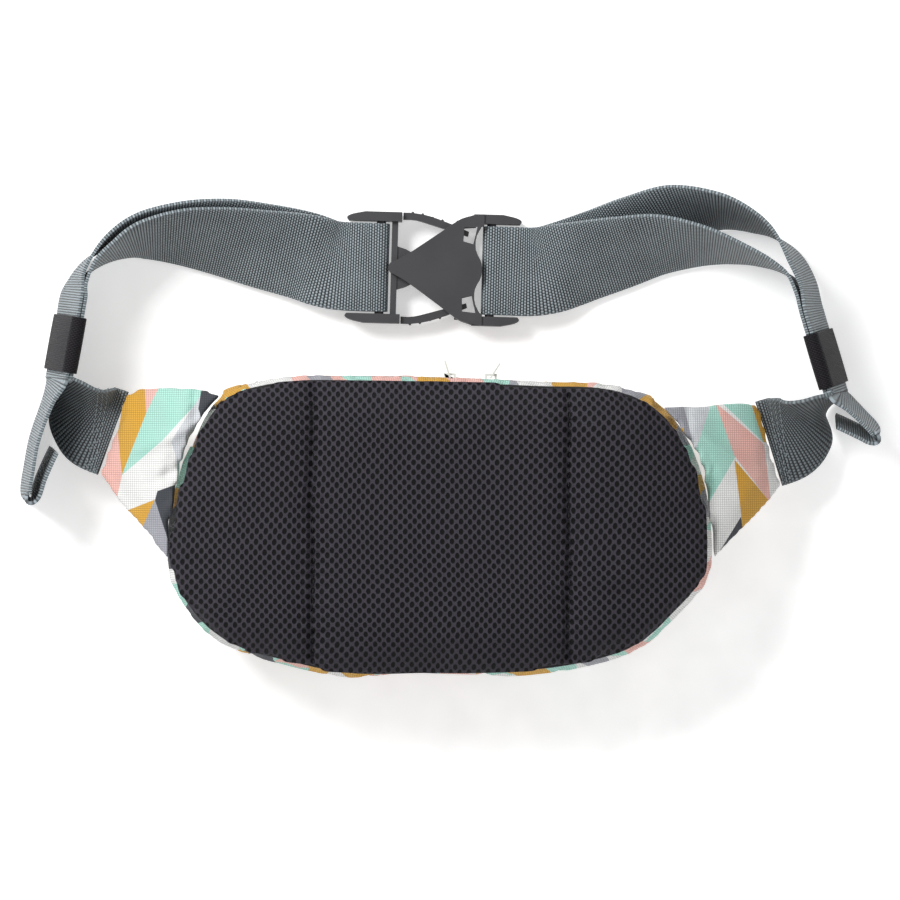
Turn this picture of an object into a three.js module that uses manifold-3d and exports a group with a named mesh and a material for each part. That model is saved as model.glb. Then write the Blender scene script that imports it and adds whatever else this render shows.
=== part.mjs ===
// Waist pack lying on its front: printed pouch, mesh back pads, wings, webbing belt and squeeze buckle.
// Millimetres. +X to the right along the belt, +Y towards the buckle, +Z out of the padded back.
// The origin is the middle of the front pocket's face, which rests on the ground.

import * as THREE from 'three';
import { mergeVertices } from 'three/addons/utils/BufferGeometryUtils.js';
import Module from 'manifold-3d';

const wasm = await Module();
wasm.setup();

// ---- driving dimensions ----

const GAP = 0.3;                     // clearance between pieces that touch
const STRAP_WIDTH = 38;
const STRAP_THICK = 1.4;
const STRAP_STEPS = 180;

const POCKET_THICK = 3;              // front pocket patch, lying on the ground
const FRONT_TOP = 12.2;              // where the front panel meets the gusset
const BACK_SEAM = 46;                // where the gusset meets the back panel
const BACK_THICK = 3.5;
const PAD_CREST = 61;
const WALL_UNITS = 3;                // wall thickness in outline units, see ringProfile below
const OUTLINE_UNIT = 100;            // a profile radius of 100 lies on the back panel's outline
const RING_STEPS = 72;
const CHANNELS = [-52.5, 55.1];      // X of the two sewn channels between the pads
const CHANNEL_WIDTH = 1.2;

const WING_ROOT_Z = 44.8;
const WING_TIP_Z = 20;
const WING_THICK = 4.4;

const ZIP_SLOT = { x: 82, low: 26.8, high: 37.2 };
const MAIN_ZIP = { length: 156, at: [0, 59.4, 32], turn: [0, 0, -0.8], sliders: [5, 22.5] };
const POCKET_ZIP = { length: 104, at: [0, 56, 6.6], turn: [-50, 0, 0], sliders: [-44] };

const KEEPER_LENGTH = 24;
const KEEPER_WALL = 1.1;
const LAYER_OFFSET = 0.95;           // half the distance between the two layers inside a keeper

const BUCKLE = { at: [-2.1, 110.7], turn: -1.6, barX: [-23, 24.7], barZ: 6.5, barR: 2, wrap: 3, half: 24 };

// ---- finishes ----

const PRINT = 0xd9d8d4;
const PRINT_ROUGH = 0.85;
const MESH = 0x2c292f;
const WEBBING = 0x4a5254;
const ELASTIC = 0x2d2b2e;
const PLASTIC = 0x4b4b4d;
const ZINC = 0xc9ccc6;
const TAPE = 0x8f9296;
const COIL_NYLON = 0x55585c;

function finish(color, roughness, metalness) {
  return new THREE.MeshStandardMaterial({ color, roughness, metalness });
}

// ---- solids ----

// Welds a geometry into one closed skin without slivers and turns its faces outwards.
function closedSkin(source) {
  const bare = source.clone();
  bare.deleteAttribute('normal');
  bare.deleteAttribute('uv');
  const welded = mergeVertices(bare, 1e-4);
  const index = welded.index.array;
  const kept = [];
  let volume = 0;
  const corner = [new THREE.Vector3(), new THREE.Vector3(), new THREE.Vector3()];
  for (let i = 0; i < index.length; i += 3) {
    const [a, b, c] = index.slice(i, i + 3);
    if (a === b || b === c || c === a) continue;
    kept.push(a, b, c);
    corner.forEach((v, k) => v.fromBufferAttribute(welded.attributes.position, [a, b, c][k]));
    volume += corner[0].dot(corner[1].cross(corner[2]));
  }
  welded.setIndex(volume < 0 ? kept.reverse() : kept);
  return welded;
}

function toManifold(geometry) {
  const skin = closedSkin(geometry);
  const vertProperties = new Float32Array(skin.attributes.position.array);
  const triVerts = new Uint32Array(skin.index.array);
  return new wasm.Manifold(new wasm.Mesh({ numProp: 3, vertProperties, triVerts }));
}

function fromManifold(solid) {
  const mesh = solid.getMesh();
  const geometry = new THREE.BufferGeometry();
  geometry.setAttribute('position', new THREE.BufferAttribute(new Float32Array(mesh.vertProperties), 3));
  geometry.setIndex(Array.from(mesh.triVerts));
  return geometry;
}

const join = (...pieces) => fromManifold(pieces.map(toManifold).reduce((sum, piece) => sum.add(piece)));
const common = (a, b) => fromManifold(toManifold(a).intersect(toManifold(b)));

function cut(body, ...tools) {
  const left = tools.map(toManifold).reduce((solid, tool) => solid.subtract(tool), toManifold(body));
  return fromManifold(left);
}

function block(low, high) {
  const size = high.map((value, axis) => value - low[axis]);
  const middle = high.map((value, axis) => (value + low[axis]) / 2);
  return new THREE.BoxGeometry(...size).translate(...middle);
}

function slab(points, low, high) {
  const shape = new THREE.Shape(points.map(([x, y]) => new THREE.Vector2(x, y)));
  return new THREE.ExtrudeGeometry(shape, { depth: high - low, bevelEnabled: false }).translate(0, 0, low);
}

const mirrored = (points) => points.map(([x, y]) => [x, -y]).reverse();
const smooth = (points, count) => new THREE.SplineCurve(points.map((p) => new THREE.Vector2(...p)))
  .getPoints(count).map((p) => [p.x, p.y]);

// ---- the pouch outline ----

// Edge of the padded back, clockwise from the upper left corner.
const OUTLINE = [
  [-89.7, 54.6], [-65.3, 61.1], [-35, 61.8], [5, 61.1], [43.6, 59.3], [75, 57.5], [92.7, 49.8], [103.3, 36.7],
  [110.6, 17.5], [113.8, -5], [112.7, -20.9], [101.2, -34.8], [85, -49.5], [60.6, -57.4], [30, -61.2], [-5, -61.8],
  [-37.6, -61.8], [-62, -57], [-88.8, -48.7], [-103, -37.2], [-112, -21], [-112.5, -5], [-108.5, 18], [-100.3, 41],
];
const outlinePoints = OUTLINE.map(([x, y]) => new THREE.Vector3(x, y, 0));
const outline = new THREE.CatmullRomCurve3(outlinePoints, true, 'centripetal');

// Bends a turned profile to the pouch outline. Up to a radius of 100 it shrinks towards the middle, and
// beyond that it stands proud of the outline by the millimetres left over.
function bentToOutline(profile) {
  const turned = new THREE.LatheGeometry(profile.map((p) => new THREE.Vector2(...p)), RING_STEPS);
  const position = turned.attributes.position;
  for (let i = 0; i < position.count; i += 1) {
    const radius = Math.hypot(position.getX(i), position.getZ(i));
    const turn = Math.atan2(position.getX(i), position.getZ(i)) / (2 * Math.PI);
    const along = radius < 1e-3 ? 0 : (turn + 1 + 1e-9) % 1;
    const rim = outline.getPointAt(along);
    const ahead = outline.getTangentAt(along);
    const proud = Math.max(0, radius - OUTLINE_UNIT);
    const share = Math.min(1, radius / OUTLINE_UNIT);
    position.setXYZ(i, rim.x * share - ahead.y * proud, rim.y * share + ahead.x * proud, position.getY(i));
  }
  return closedSkin(turned);
}

// ---- pouch and pads ----

function frontPocket() {
  return bentToOutline([[0, 0], [70, 0], [75, 1.2], [75, POCKET_THICK], [0, POCKET_THICK]]);
}

function frontPanel() {
  const low = POCKET_THICK + GAP;
  const outer = [[0, low], [78, low], [90, 7], [97, FRONT_TOP]];
  const inner = [[97 - WALL_UNITS, FRONT_TOP], [87, 8.8], [77, low + 3], [0, low + 3]];
  return bentToOutline([...outer, ...inner]);
}

// The side wall bulges between the front panel and the back seam, with a slot along the top for the zip.
function gusset() {
  const outer = [[97, FRONT_TOP + GAP], [101.4, 20], [103, 30], [102, 39], [99, BACK_SEAM - GAP]];
  const inner = outer.map(([radius, z]) => [radius - WALL_UNITS, z]).reverse();
  const ring = bentToOutline([...outer, ...inner, outer[0]]);
  return cut(ring, block([-ZIP_SLOT.x, 40, ZIP_SLOT.low], [ZIP_SLOT.x, 80, ZIP_SLOT.high]));
}

function backPanel() {
  const rim = 98.5;
  const top = BACK_SEAM + BACK_THICK;
  return bentToOutline([[0, BACK_SEAM], [rim, BACK_SEAM], [rim, top], [0, top]]);
}

// One crowned lens over the whole back, cut into three pads along the sewn channels.
function backPads() {
  const low = BACK_SEAM + BACK_THICK + GAP;
  const rim = [[99, low], [100, low + 2], [95, low + 7]];
  const crown = [[82, PAD_CREST - 1.2], [58, PAD_CREST], [0, PAD_CREST]];
  const lens = bentToOutline([[0, low], ...rim, ...crown]);
  const beyond = 200;                // clear of the pouch on every side
  const edges = [-beyond, ...CHANNELS, beyond];
  return ['left', 'centre', 'right'].map((name, i) => {
    const from = edges[i] + CHANNEL_WIDTH / 2;
    const to = edges[i + 1] - CHANNEL_WIDTH / 2;
    const range = block([from, -beyond, 0], [to, beyond, beyond]);
    return [`mesh_pad_${name}`, common(lens, range)];
  });
}

// ---- wings ----

// Each wing is a quilted patch between four edges, given from its root on the back seam to its tip.
const WINGS = {
  left: {
    top: [[-90.6, 56.2], [-101.6, 58.4], [-112, 59], [-123, 58.3], [-132.8, 56.8]],
    tip: [[-132.8, 56.8], [-139, 39.5], [-145.2, 22.2]],
    root: [[-90.6, 56.2], [-97.8, 50], [-102.2, 41.6], [-106.6, 30.8], [-110.4, 18.4], [-113, 2], [-114.6, -13.5]],
    bottom: [[-114.6, -13.5], [-119.8, -7.5], [-125.5, -0.9], [-135, 9], [-145.2, 22.2]],
  },
  right: {
    top: [[94.9, 50.6], [101.2, 51], [111.9, 51.9], [124.7, 52.7], [135.4, 52.5]],
    tip: [[135.4, 52.5], [141.4, 35], [147.3, 17.5]],
    root: [[94.9, 50.6], [100.6, 44.4], [105.4, 36.8], [109.8, 28], [112.8, 17.6], [115.4, 2], [116, -14.4]],
    bottom: [[116, -14.4], [121.3, -8.5], [129.4, -0.9], [138, 6.2], [147.3, 17.5]],
  },
};

function wing({ top, tip, root, bottom }) {
  const [topEdge, tipEdge, rootEdge, bottomEdge] = [top, tip, root, bottom]
    .map((points) => new THREE.SplineCurve(points.map((p) => new THREE.Vector2(...p))));
  const corners = [topEdge, bottomEdge].flatMap((edge) => [edge.getPoint(0), edge.getPoint(1)]);
  const patch = new THREE.BoxGeometry(1, 1, WING_THICK, 10, 8, 1).translate(0.5, 0.5, 0);
  const position = patch.attributes.position;
  for (let i = 0; i < position.count; i += 1) {
    const out = position.getX(i);
    const down = position.getY(i);
    const edges = topEdge.getPoint(out).multiplyScalar(1 - down)
      .add(bottomEdge.getPoint(out).multiplyScalar(down))
      .add(rootEdge.getPoint(down).multiplyScalar(1 - out))
      .add(tipEdge.getPoint(down).multiplyScalar(out));
    const shares = [(1 - out) * (1 - down), out * (1 - down), (1 - out) * down, out * down];
    corners.forEach((corner, k) => edges.addScaledVector(corner, -shares[k]));
    const fall = 0.6 * out + 0.4 * out * out;
    const height = THREE.MathUtils.lerp(WING_ROOT_Z, WING_TIP_Z, fall);
    position.setXYZ(i, edges.x, edges.y, height + position.getZ(i));
  }
  return patch;
}

// ---- webbing ----

// Where each keeper sits, the plan direction of the webbing through it, and how far it leans towards the bag.
const KEEPERS = {
  left: { at: [-160, 78.1, 20.9], along: [0.18, 0.984], lean: 18, side: -1 },
  right: { at: [166.4, 71.6, 20.9], along: [-0.286, 0.958], lean: 16, side: 1 },
};

// Each layer is a list of [x, y, z, roll]: roll 0 lies flat at the wing, 90 stands on edge, 180 lies flat again.
const BELT = {
  left: {
    anchor: [[-139.6, 39.7, 20, 0], [-147.5, 42.8, 20, 12], [-153.4, 47.6, 20.2, 34], [-158.4, 55, 20.6, 56]],
    inner: [[-152.3, 105, 20.5, 80], [-145.5, 113.2, 20.5, 90], [-137, 118.6, 20.4, 98], [-127.2, 122.5, 20, 110],
      [-110.2, 124, 18.2, 125], [-93.1, 122.3, 15.6, 137], [-76, 119.1, 12.8, 149], [-58.9, 115.9, 10.6, 163],
      [-46, 112.5, 9.6, 178]],
    tail: [[-176.9, 15.4, 20.4, 79], [-175.6, 24.5, 20.4, 79], [-173.2, 37, 20.6, 79], [-167.2, 54, 20.8, 78]],
    hem: [[-176.5, 12.6], [-174.8, 11.5], [-173.1, 12.9], [-170.6, 20], [-167.6, 27], [-164.9, 32.6]],
    outer: [[-154, 108.5, 20.8, 79], [-147.6, 116.6, 20.6, 86], [-137, 123.8, 20.4, 98], [-127.2, 127.6, 19.6, 107],
      [-110.2, 128.3, 17.5, 122], [-93.1, 126, 14.2, 138], [-76, 121.6, 10.4, 153], [-58.9, 117.2, 7, 165],
      [-46, 112.6, 4, 178]],
  },
  right: {
    anchor: [[142.1, 35.2, 20, 0], [150, 37.9, 20, 12], [157, 43, 20.2, 34], [163.2, 50.6, 20.6, 72]],
    inner: [[155, 101.6, 20.6, 79], [149.4, 108.2, 20.5, 86], [141, 112.9, 20.4, 92], [129, 117, 20, 100],
      [111.9, 120.4, 18.9, 114], [94.8, 120.9, 16.4, 129], [77.7, 117.4, 13.6, 142], [60.6, 113.4, 11, 155],
      [44, 109.7, 9.6, 178]],
    tail: [[187.2, 41.4, 20.4, 79], [182.6, 46.4, 20.4, 79], [176.6, 52.3, 20.7, 78]],
    hem: [[188, 39.5], [187.2, 38], [185.4, 38.1], [181, 40.2], [175.6, 42.8], [170.8, 45]],
    outer: [[158.6, 104, 20.9, 75], [152.8, 115, 20.8, 77], [145.6, 123.4, 20.6, 86], [137.5, 129, 20.4, 96],
      [120.4, 135, 19.4, 110], [103.3, 133.6, 16.2, 131], [86.3, 126.4, 11.8, 147], [69.2, 118, 7.6, 163],
      [44, 109.8, 3.6, 178]],
  },
};

const up = new THREE.Vector3(0, 0, 1);

function keeperAxes({ along, lean, side }) {
  const travel = new THREE.Vector3(along[0], along[1], 0).normalize();
  const inboard = new THREE.Vector3(-side * travel.y, side * travel.x, 0);
  const across = inboard.clone().multiplyScalar(Math.sin(THREE.MathUtils.degToRad(lean)))
    .addScaledVector(up, Math.cos(THREE.MathUtils.degToRad(lean)));
  const outward = new THREE.Vector3().crossVectors(travel, across).multiplyScalar(side);
  return { travel, across, outward };
}

// Distances from a keeper's middle between which the webbing runs straight.
const KEEPER_STRETCH = [-16, -14.5, -13, -3, 9, 22];

// Straight stretch through a keeper: layer -1 is the inner layer, 1 the outer.
function throughKeeper(keeper, layer) {
  const { travel, across, outward } = keeperAxes(keeper);
  const centre = new THREE.Vector3(...keeper.at).addScaledVector(outward, layer * LAYER_OFFSET);
  return KEEPER_STRETCH.map((distance) => ({
    point: centre.clone().addScaledVector(travel, distance),
    across,
  }));
}

// Turns [x, y, z, roll] rows into stations, with the roll measured about the plan direction of travel.
function layer(rows, side) {
  return rows.map(([x, y, z, roll], i) => {
    const before = rows[Math.max(0, i - 1)];
    const after = rows[Math.min(rows.length - 1, i + 1)];
    const travel = new THREE.Vector2(after[0] - before[0], after[1] - before[1]).normalize();
    const angle = THREE.MathUtils.degToRad(roll);
    const across = new THREE.Vector3(-side * travel.y, side * travel.x, 0).multiplyScalar(Math.cos(angle))
      .addScaledVector(up, Math.sin(angle));
    return { point: new THREE.Vector3(x, y, z), across };
  });
}

function buckleToWorld(x, y, z) {
  const turned = new THREE.Vector3(x, y, z).applyAxisAngle(up, THREE.MathUtils.degToRad(BUCKLE.turn));
  return turned.add(new THREE.Vector3(BUCKLE.at[0], BUCKLE.at[1], 0));
}

// Half a turn round the adjuster bar, from the inner layer down to the outer one.
function roundBar(side) {
  const barX = BUCKLE.barX[side < 0 ? 0 : 1];
  const across = new THREE.Vector3(0, 1, 0).applyAxisAngle(up, THREE.MathUtils.degToRad(BUCKLE.turn));
  const lead = [[barX + side * 8, BUCKLE.wrap + 0.1], [barX + side * 3, BUCKLE.wrap]];
  const arc = [90, 45, 0, -45, -90].map((degrees) => {
    const angle = THREE.MathUtils.degToRad(degrees);
    return [barX - side * BUCKLE.wrap * Math.cos(angle), BUCKLE.wrap * Math.sin(angle)];
  });
  const back = lead.map(([x, z]) => [x, -z]).reverse();
  return [...lead, ...arc, ...back].map(([x, z]) => ({
    point: buckleToWorld(x, 0, BUCKLE.barZ + z),
    across,
  }));
}

// One length of webbing: wing, keeper, round the buckle's bar, back through the keeper to a folded hem.
function strap(belt, keeper) {
  const { side } = keeper;
  const { across } = layer(belt.tail, side)[0];
  const hem = belt.hem.map(([x, y], i) => ({ point: new THREE.Vector3(x, y, belt.tail[0][2]), across }));
  const inwards = [...layer(belt.anchor, side), ...throughKeeper(keeper, -1), ...layer(belt.inner, side)];
  const outwards = [...layer(belt.tail, side), ...throughKeeper(keeper, 1), ...layer(belt.outer, side)];
  return [...inwards, ...roundBar(side), ...outwards.reverse(), ...hem];
}

function webbing(stations) {
  const middle = new THREE.CatmullRomCurve3(stations.map((s) => s.point));
  const widthways = new THREE.CatmullRomCurve3(stations.map((s) => s.across), false, 'catmullrom', 0.5);
  const strip = new THREE.BoxGeometry(1, STRAP_WIDTH, STRAP_THICK, STRAP_STEPS, 1, 1).translate(0.5, 0, 0);
  const position = strip.attributes.position;
  for (let i = 0; i < position.count; i += 1) {
    const along = THREE.MathUtils.clamp(position.getX(i), 0, 1);
    const travel = middle.getTangent(along);
    const across = widthways.getPoint(along);
    across.addScaledVector(travel, -across.dot(travel)).normalize();
    const face = new THREE.Vector3().crossVectors(travel, across);
    const point = middle.getPoint(along)
      .addScaledVector(across, position.getY(i))
      .addScaledVector(face, position.getZ(i));
    position.setXYZ(i, point.x, point.y, point.z);
  }
  return strip;
}

function roundedBox(x, y, radius) {
  const shape = new THREE.Shape();
  const middles = [[x, y, 0], [-x, y, 90], [-x, -y, 180], [x, -y, 270]];
  middles.forEach(([cx, cy, start]) => {
    const angle = THREE.MathUtils.degToRad(start);
    const arcX = cx - Math.sign(cx) * radius;
    const arcY = cy - Math.sign(cy) * radius;
    shape.absarc(arcX, arcY, radius, angle, angle + Math.PI / 2, false);
  });
  return shape;
}

function keeperBand(keeper) {
  const { travel, across, outward } = keeperAxes(keeper);
  const inner = { width: STRAP_WIDTH / 2 + 0.4, thick: LAYER_OFFSET + STRAP_THICK / 2 + 0.5 };
  const frame = (grow) => roundedBox(inner.width + grow, inner.thick + grow, 1.2);
  const shape = frame(KEEPER_WALL);
  shape.holes.push(frame(0));
  const settings = { depth: KEEPER_LENGTH, bevelEnabled: false, curveSegments: 3 };
  const band = new THREE.ExtrudeGeometry(shape, settings);
  band.translate(0, 0, -KEEPER_LENGTH / 2);
  const axes = new THREE.Matrix4().makeBasis(across, outward, travel).setPosition(...keeper.at);
  return band.applyMatrix4(axes);
}

// ---- zips ----

// A zip lies along X, its outer face towards +Y, its width along Z; then it is turned and put in place.
function zipPlace({ at, turn }) {
  const angles = new THREE.Euler(...turn.map(THREE.MathUtils.degToRad));
  return new THREE.Matrix4().makeRotationFromEuler(angles).setPosition(...at);
}

const COIL = { half: 2, low: -0.2, high: 1.4 };

function zipTape(length, side) {
  const near = COIL.half + GAP;
  const far = 4.8;
  const [low, high] = side > 0 ? [near, far] : [-far, -near];
  return block([-length / 2, 0, low], [length / 2, 0.8, high]);
}

function zipCoil(length) {
  return block([-length / 2, COIL.low, -COIL.half], [length / 2, COIL.high, COIL.half]);
}

// Body plate with a bridge over it that the pull hangs on.
function zipSlider() {
  const low = COIL.high + GAP;
  const half = [[-4.5, -2.6], [-2.4, -3.9], [2.4, -3.9], [4.5, -2.6]];
  const plan = [...half, ...mirrored(half)];
  const plate = slab(plan, -low - 1.8, -low).rotateX(-Math.PI / 2).scale(1, -1, 1);
  const bridge = block([-2.6, low + 1.7, -1.1], [2.6, low + 4.2, 1.1]);
  const window = block([-1.6, low + 1.9, -2], [1.6, low + 3.3, 2]);
  return cut(join(plate, bridge), window);
}

const PULL_AXIS = COIL.high + GAP + 2.6;

function zipPull() {
  const plate = block([-0.4, 0, -2.4], [0.4, 7.2, 2.4]);
  const window = block([-1, 0.35, -1.4], [1, 3.6, 1.4]);
  const root = block([-0.35, -0.35, -2.4], [0.35, 0.4, 2.4]);
  return join(cut(plate, window), root);
}

function addZip(group, name, zip, pullTurns) {
  const place = zipPlace(zip);
  addPiece(group, `${name}_tape_back`, zipTape(zip.length, 1).applyMatrix4(place), TAPE, 0.85);
  addPiece(group, `${name}_tape_front`, zipTape(zip.length, -1).applyMatrix4(place), TAPE, 0.85);
  addPiece(group, `${name}_coil`, zipCoil(zip.length).applyMatrix4(place), COIL_NYLON, 0.5);
  zip.sliders.forEach((x, i) => {
    const side = zip.sliders.length > 1 ? ['_left', '_right'][i] : '';
    const slider = zipSlider().translate(x, 0, 0).applyMatrix4(place);
    const turn = THREE.MathUtils.degToRad(pullTurns[i]);
    const pull = zipPull().rotateZ(turn).translate(x, PULL_AXIS, 0).applyMatrix4(place);
    addPiece(group, `${name}_slider${side}`, slider, ZINC, 0.35, 0.8);
    addPiece(group, `${name}_pull${side}`, pull, ZINC, 0.35, 0.8);
  });
}

// ---- buckle ----

const RAIL = { inner: 20, outer: BUCKLE.half, low: 1.2, high: 11.4 };
const PLATE = { low: 9.4, high: 12.2 };
const FLOOR = { low: 0.6, high: 2.8 };

function bar(x) {
  const span = 2 * RAIL.inner + 1;   // half a millimetre into each rail
  return new THREE.CylinderGeometry(BUCKLE.barR, BUCKLE.barR, span, 16).translate(x, 0, BUCKLE.barZ);
}

// Side rail beside the webbing, rounded at its free end.
function rail(fromX, endX) {
  const lean = Math.sign(endX - fromX);
  const nose = [[8, RAIL.outer], [2.4, RAIL.outer - 1.2], [0, RAIL.inner + 1.4], [0.8, RAIL.inner]];
  const curve = smooth(nose.map(([back, y]) => [endX - lean * back, y]), 8);
  return [[fromX, RAIL.inner], [fromX, RAIL.outer], ...curve];
}

function bothSides(points, low, high) {
  return [slab(points, low, high), slab(mirrored(points), low, high)];
}

function femaleHalf() {
  const flank = [[-16.4, 3.1], [-9.9, 6.9], [2.8, 15.8], [7.2, 19], [12.6, 22.3], [20.4, RAIL.outer]];
  const edge = smooth([[-19.6, 0], [-18.7, 2], ...flank], 18);
  const scallop = smooth([[20.4, 18.6], [18.2, 14], [18.2, 8.4], [20.6, 3.4], [21, 0]], 10);
  const half = [...edge, [21.5, RAIL.outer], [21.5, 19], ...scallop];
  const plate = slab([...half, ...mirrored(half.slice(1, -1))], PLATE.low, PLATE.high);
  const rails = bothSides(rail(17, 37.6), RAIL.low, RAIL.high);
  const cheek = [[9.5, 20.7], [12.6, 22.3], [18, RAIL.outer], [21, RAIL.outer], [21, 20.7]];
  const cheeks = bothSides(cheek, FLOOR.low, PLATE.low + 1);
  const floor = block([9.5, -21.5, FLOOR.low], [18, 21.5, FLOOR.high]);
  const hole = [[12.7, 12.1], [16.9, 11], [18.6, 18.6], [12.9, 18.1]];
  const holes = bothSides(hole, 0, 20);
  return cut(join(plate, ...rails, ...cheeks, floor, bar(BUCKLE.barX[1])), ...holes);
}

function maleHalf() {
  const rails = bothSides(rail(-14, -37.8), RAIL.low, RAIL.high);
  const crossBar = block([-18.3, -20.5, 2.6], [-15.7, 20.5, 9]);
  const blade = [[-16.5, 9.6], [-12, 8.2], [-6, 5], [13, 4.2], [15, 2.6]];
  const tongue = slab([...blade, ...mirrored(blade)], 4.4, 8.4);
  return join(...rails, crossBar, tongue, bar(BUCKLE.barX[0]));
}

// Squeeze arm with grip ribs along its outer edge, growing from the corner of the male half.
function squeezeArm(side) {
  const outerEdge = smooth([[-13.6, 24], [-9, 23.9], [-2, 22.7], [6.6, 19.8], [15, 16.4]], 12);
  const innerEdge = smooth([[14.6, 14.4], [8, 16.3], [0, 18.6], [-8, 20.8], [-13.6, 20.9]], 12);
  const arm = slab([...outerEdge, ...innerEdge], 3.4, 8.8);
  const ribs = [-9.5, -5.2, -0.9, 3.4].map((x) => {
    const y = outerEdge.find((point) => point[0] > x)[1];
    return new THREE.CylinderGeometry(0.6, 0.6, 5.2, 8).rotateX(Math.PI / 2).translate(x, y + 0.1, 6.1);
  });
  return join(arm, ...ribs).scale(1, side, 1);
}

function addBuckle(group) {
  const place = new THREE.Group();
  place.position.set(BUCKLE.at[0], BUCKLE.at[1], 0);
  place.rotation.z = THREE.MathUtils.degToRad(BUCKLE.turn);
  group.add(place);
  addPiece(place, 'buckle_female', femaleHalf(), PLASTIC, 0.5);
  addPiece(place, 'buckle_male', maleHalf(), PLASTIC, 0.5);
  addPiece(place, 'squeeze_arm_upper', squeezeArm(1), PLASTIC, 0.5);
  addPiece(place, 'squeeze_arm_lower', squeezeArm(-1), PLASTIC, 0.5);
}

// ---- assembly ----

function addPiece(group, name, geometry, color, roughness, metalness = 0) {
  const piece = new THREE.Mesh(closedSkin(geometry), finish(color, roughness, metalness));
  piece.name = name;
  group.add(piece);
}

const group = new THREE.Group();
addPiece(group, 'front_pocket', frontPocket(), PRINT, PRINT_ROUGH);
addPiece(group, 'front_panel', frontPanel(), PRINT, PRINT_ROUGH);
addPiece(group, 'gusset', gusset(), PRINT, PRINT_ROUGH);
addPiece(group, 'back_panel', backPanel(), ELASTIC, 0.9);
backPads().forEach(([name, pad]) => addPiece(group, name, pad, MESH, 0.95));
Object.entries(WINGS).forEach(([name, edges]) => addPiece(group, `wing_${name}`, wing(edges), PRINT, PRINT_ROUGH));
Object.entries(BELT).forEach(([name, belt]) => {
  addPiece(group, `webbing_${name}`, webbing(strap(belt, KEEPERS[name])), WEBBING, 0.7);
  addPiece(group, `keeper_${name}`, keeperBand(KEEPERS[name]), ELASTIC, 0.9);
});
addZip(group, 'main_zip', MAIN_ZIP, [18, -32]);
addZip(group, 'pocket_zip', POCKET_ZIP, [78]);
addBuckle(group);

export default group;
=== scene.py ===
# %% [markdown]
# # A waist pack, lying on its front
# This notebook dresses a plain mechanical model of a waist pack so that it looks like cloth, webbing, mesh and moulded
# plastic. The mechanical model is the fixed frame: it says where each piece is and how it moves. Every piece made here
# is placed from that frame, and all but the left belt are then told which moving body they ride on.

# %% Load the frame
import math
import bpy
import bmesh
import numpy as np
from mathutils import Matrix, Vector, noise
from mathutils.bvhtree import BVHTree


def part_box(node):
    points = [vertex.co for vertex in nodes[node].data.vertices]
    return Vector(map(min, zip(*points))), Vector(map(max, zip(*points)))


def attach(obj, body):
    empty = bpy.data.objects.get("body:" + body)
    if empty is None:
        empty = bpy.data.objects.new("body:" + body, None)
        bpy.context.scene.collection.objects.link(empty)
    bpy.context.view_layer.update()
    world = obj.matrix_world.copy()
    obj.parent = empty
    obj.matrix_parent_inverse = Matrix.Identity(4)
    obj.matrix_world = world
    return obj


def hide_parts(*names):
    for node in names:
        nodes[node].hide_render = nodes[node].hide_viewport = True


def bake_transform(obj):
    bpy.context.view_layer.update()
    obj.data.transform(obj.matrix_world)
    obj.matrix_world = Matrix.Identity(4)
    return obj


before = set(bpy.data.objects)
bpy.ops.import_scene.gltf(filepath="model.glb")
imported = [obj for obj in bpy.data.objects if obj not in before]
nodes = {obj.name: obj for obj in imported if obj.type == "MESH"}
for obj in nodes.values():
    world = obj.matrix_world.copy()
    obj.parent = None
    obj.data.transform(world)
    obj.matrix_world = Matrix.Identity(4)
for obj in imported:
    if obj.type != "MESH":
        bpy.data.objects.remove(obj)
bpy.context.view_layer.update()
MM = 0.001

# %% [markdown]
# ## The table, the light and the camera
# The pack lies on a white table and is seen from straight above. A long lens far away keeps the belt and the thick
# middle of the pack in true proportion. The light is a large soft source high on the left with a weak one opposite,
# so that shadows fall softly to the lower right, as on a product table.

# %% Camera
FRAME_WIDTH = 0.3843
FRAME_CENTRE = Vector((0.0051, 0.0325, 0.0))
CAMERA_HEIGHT = 1.9
SUBJECT_HEIGHT = 0.03

camera_data = bpy.data.cameras.new("camera")
camera_data.sensor_width = 36.0
camera_data.lens = camera_data.sensor_width * (CAMERA_HEIGHT - SUBJECT_HEIGHT) / FRAME_WIDTH
camera = bpy.data.objects.new("camera", camera_data)
camera.location = FRAME_CENTRE + Vector((0, 0, CAMERA_HEIGHT))
bpy.context.scene.collection.objects.link(camera)
bpy.context.scene.camera = camera
print("lens", round(camera_data.lens, 1), "mm")


# %% [markdown]
# The key light is small and close, so the side nearest to it is brighter. Two weak wide lights and a pale world keep
# the shadows open.

# %% Lights
def add_light(name, location, size, power, target=(0, 0, 0.02)):
    data = bpy.data.lights.new(name, "AREA")
    data.shape = "SQUARE"
    data.size = size
    data.energy = power
    light = bpy.data.objects.new(name, data)
    light.location = location
    light.rotation_euler = (Vector(target) - Vector(location)).to_track_quat("-Z", "Y").to_euler()
    bpy.context.scene.collection.objects.link(light)


add_light("key", (-0.62, 0.62, 0.85), 0.42, 13.5)
add_light("fill", (0.9, -0.2, 1.2), 1.4, 3.0)
add_light("front", (-0.1, -1.0, 0.7), 1.2, 2.0)

world = bpy.data.worlds.new("studio")
world.use_nodes = True
world.node_tree.nodes["Background"].inputs["Color"].default_value = (1.0, 1.0, 1.0, 1.0)
world.node_tree.nodes["Background"].inputs["Strength"].default_value = 0.45
bpy.context.scene.world = world
bpy.context.scene.view_settings.view_transform = "Standard"


# %% [markdown]
# ## Shader sums as plain expressions
# A weave is a sum: so many threads per millimetre, crossed and rounded. Writing that sum as Python is easier to read
# than a hundred nodes, so a small class wraps one socket and turns `+`, `*` and the rest into Math nodes. Colours are
# blended with a Mix node, because a Math node would turn them grey.

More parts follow.
